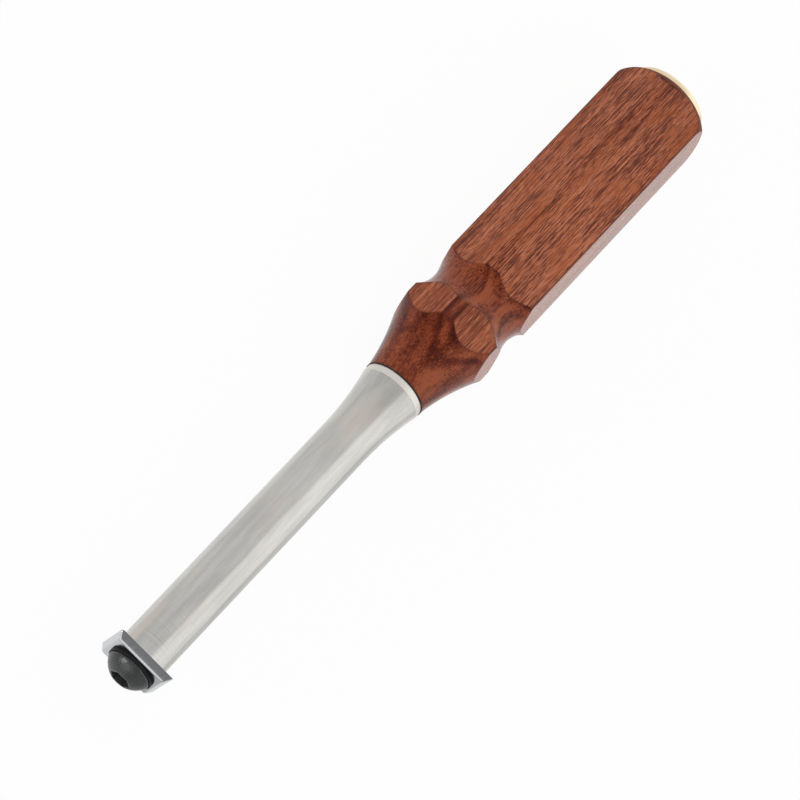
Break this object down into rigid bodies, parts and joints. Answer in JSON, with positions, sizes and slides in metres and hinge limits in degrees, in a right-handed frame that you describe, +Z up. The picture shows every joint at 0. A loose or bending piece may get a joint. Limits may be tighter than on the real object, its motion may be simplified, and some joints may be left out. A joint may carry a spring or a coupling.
{
  "type": "carbide scraper",
  "caption": "Pull scraper with a square carbide insert clamped by a button-head screw and washer on a flared steel shank, with a waisted hexagonal wooden handle and a brass end cap.",
  "frame": {"origin": "on the ground under the middle of the tool's length, where the bottom flat of the handle rests", "axes": "+X along the tool from the cutting end to the butt, +Z up from the handle's bottom flat to its top flat"},
  "size_m": [0.256, 0.0352, 0.0308],
  "materials": {
    "carbide": "ground",
    "black_washer": "black oxide",
    "black_screw": "black oxide",
    "satin_steel": "satin turned",
    "black_fibre": "matte",
    "red_hardwood": "satin lacquer",
    "plain_steel": "plain",
    "brass": "satin"
  },
  "bodies": {
    "tool": {"handle": "red_hardwood", "shank": "satin_steel", "collar_spacer": "black_fibre", "draw_rod": "plain_steel", "end_cap": "brass"},
    "insert": {"carbide_insert": "carbide"},
    "washer": {"clamp_washer": "black_washer"},
    "screw": {"clamp_screw": "black_screw"}
  },
  "joints": [
    {"name": "insert_index", "type": "hinge", "parent": "tool", "child": "insert", "pos_m": [-0.1203, 0, 0.0154], "axis": [-1, 0, 0], "continuous": true},
    {"name": "screw_travel", "type": "slide", "parent": "tool", "child": "washer", "axis": [-1, 0, 0], "range_m": [0, 0.0119]},
    {"name": "screw_turn", "type": "hinge", "parent": "washer", "child": "screw", "pos_m": [-0.1203, 0, 0.0154], "axis": [-1, 0, 0], "range_deg": [0, 3420]}
  ],
  "couplings": [
    {"joint": "screw_travel", "follows": "screw_turn", "m_per_rad": 0.00019894}
  ]
}
